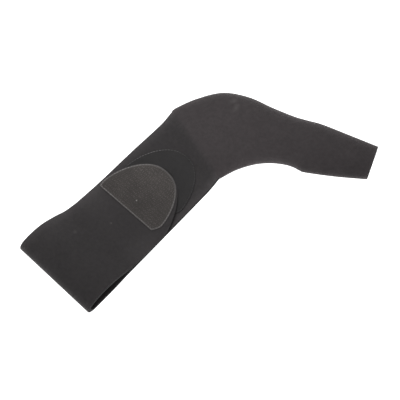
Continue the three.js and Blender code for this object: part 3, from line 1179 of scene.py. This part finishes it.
def hook_turns():
    """A matrix for each hook, row by row from the straight edge."""
    turns = []
    for row in range(math.ceil((HOOK["depth"] - 2 * PLAIN_RIM) / HOOK_ROW)):
        depth = PLAIN_RIM + row * HOOK_ROW
        left, right = tape_sides(HOOK, depth)
        start = right + PLAIN_RIM + (row % 2) * HOOK_PITCH / 2
        for k in range(int(max(left - right - 2 * PLAIN_RIM, 0) // HOOK_PITCH)):
            facing = Matrix.Rotation(STRAP_TURN + math.pi * (row % 2) + either_way(HOOK_TWIST), 4, "Z")
            lean = Matrix.Rotation(either_way(HOOK_LEAN), 4, "X")
            size = Matrix.Scale(MM * chance.uniform(*HOOK_SIZES), 4)
            strayed = depth + either_way(HOOK_STRAY)
            x, y = on_tape(HOOK, strayed, start + k * HOOK_PITCH + either_way(HOOK_STRAY))
            place = from_strap(x, y, on_tongue(x, y) + HOOK_BASE - HOOK_SUNK)
            turns.append(Matrix.Translation(place) @ facing @ lean @ size)
    return turns


hook_rows = copies_of("hook_rows", hook, hook_turns())
shade(hook_rows, 60)
print("hooks", len(hook_rows.data.polygons), "faces")

# %% Nylon of the hooks
NYLON = (0.1106, 0.0989, 0.093)


def nylon_hair():
    made, tree, shader, place = blank_material("nylon_hair")
    clouds = use_group(tree, tone, place=place, patch=0.008, amount=0.55)["Factor"]
    each = use_group(tree, tone, place=place, patch=0.0016, amount=0.6)["Factor"]
    body = scaled(tree, NYLON, times(tree, clouds, each, place_factor(tree, place, HOOK_PLACES)))
    fill(tree, shader, {"Base Color": with_fluff(tree, body, place), "Roughness": 0.42})
    return made


hook_rows.data.materials.append(nylon_hair())
print("hook finish", hook_rows.data.materials[0].name)

# %% [markdown]
# ## Stitching
# A line of lock stitch holds each tape down, close to its rim. One stitch is a stretched sphere, narrow at
# its ends where the thread dives into the cloth, and copies follow the D's outline moved in from the edge.
# The thread doesn't show as one even grey: it has a painted highlight at the left of each D and painted
# shade towards the nose, so its tone is changed round a few places.

# %% Stitch lines
STITCH = 2.3
STITCH_SHARE = 0.86
STITCH_TWIST = 0.06
STITCH_INSET = 0.75
STITCH_ROWS = 80
THREAD = 0.3
THREAD_PRESS = 0.85


def one_stitch():
    deselect()
    lying = (0, math.pi / 2, 0)
    bpy.ops.mesh.primitive_uv_sphere_add(segments=10, ring_count=6, radius=1.0, rotation=lying)
    made = bpy.context.object
    bpy.ops.object.transform_apply(rotation=True)
    bpy.ops.object.mode_set(mode="EDIT")
    bpy.ops.mesh.select_all(action="SELECT")
    bpy.ops.transform.resize(value=(STITCH / 2 * STITCH_SHARE, THREAD, THREAD * THREAD_PRESS))
    bpy.ops.object.mode_set(mode="OBJECT")
    return made


def along_outline(points, spacing):
    """Evenly spaced places round a closed outline, each with its direction."""
    ring = points + points[:1]
    lengths = [math.dist(a, b) for a, b in zip(ring, ring[1:])]
    count = round(sum(lengths) / spacing)
    spacing = sum(lengths) / count
    found = []
    travelled, edge = 0.0, 0
    for k in range(count):
        wanted = (k + 0.5) * spacing
        while travelled + lengths[edge] < wanted:
            travelled += lengths[edge]
            edge += 1
        t = (wanted - travelled) / lengths[edge]
        (ax, ay), (bx, by) = ring[edge], ring[edge + 1]
        found.append((ax + (bx - ax) * t, ay + (by - ay) * t, math.atan2(by - ay, bx - ax)))
    return found


def stitch_line(name, tape, lies_on, base):
    """A line of stitches round a tape, on top of its base."""
    turns = []
    for x, y, heading in along_outline(tape_outline(tape, STITCH_INSET, STITCH_ROWS), STITCH):
        place = from_strap(x, y, lies_on(x, y) + base)
        facing = Matrix.Rotation(STRAP_TURN + heading + either_way(STITCH_TWIST), 4, "Z")
        turns.append(Matrix.Translation(place) @ facing @ Matrix.Scale(MM, 4))
    made = copies_of(name, one_stitch(), turns)
    shade(made, 80)
    print(name, len(turns), "stitches")
    return made


hook_stitch = stitch_line("hook_stitching", HOOK, on_tongue, HOOK_BASE)
loop_stitch = stitch_line("loop_stitching", LOOP, on_lower_run, LOOP_BASE)

# %% Sewing thread
GREY_THREAD = (0.13, 0.122, 0.119)
DARK_THREAD = (0.0245, 0.023, 0.0234)

# Where the thread has painted highlight and painted shade: a centre, a reach in metres and a change
HOOK_THREAD_LIGHT_AND_SHADE = [(from_strap(96, 30, 9), 0.036, 0.54), (from_strap(116, -8, 9), 0.026, -0.65)]
LOOP_THREAD_HIGHLIGHT = [(from_strap(124, 21, 5), 0.030, 3.7)]


def sewing_thread(name, colour, places, sheen):
    made, tree, shader, place = blank_material(name)
    clouds = use_group(tree, tone, place=place, patch=0.0024, amount=0.9)["Factor"]
    # Painted highlight and painted shade round the given places
    body = scaled(tree, colour, times(tree, clouds, place_factor(tree, place, places)))
    fill(tree, shader, {"Base Color": body, "Roughness": 0.6, "Sheen Weight": sheen})
    return made


hook_stitch.data.materials.append(sewing_thread("grey_thread", GREY_THREAD, HOOK_THREAD_LIGHT_AND_SHADE, 0.2))
loop_stitch.data.materials.append(sewing_thread("dark_thread", DARK_THREAD, LOOP_THREAD_HIGHLIGHT, 0.05))
print("threads", hook_stitch.data.materials[0].name, loop_stitch.data.materials[0].name)

# %% [markdown]
# ## Hand each piece to the frame
# Every piece rides on the one body, and the finish that it takes is printed.

# %% Attach to the body
for piece, finish in (
    (strap, "strap_neoprene"),
    (sleeve, "sleeve_neoprene"),
    (hook_tape, "hook_tape"),
    (hook_rows, "hook_tape"),
    (loop_tape, "loop_tape"),
    (hook_stitch, "thread"),
    (loop_stitch, "thread"),
):
    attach(piece, "root")
    print(piece.name, "takes", finish)

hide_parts("wrist_strap")
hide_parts("thumb_sleeve")
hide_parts("hook_tab")
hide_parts("loop_patch")
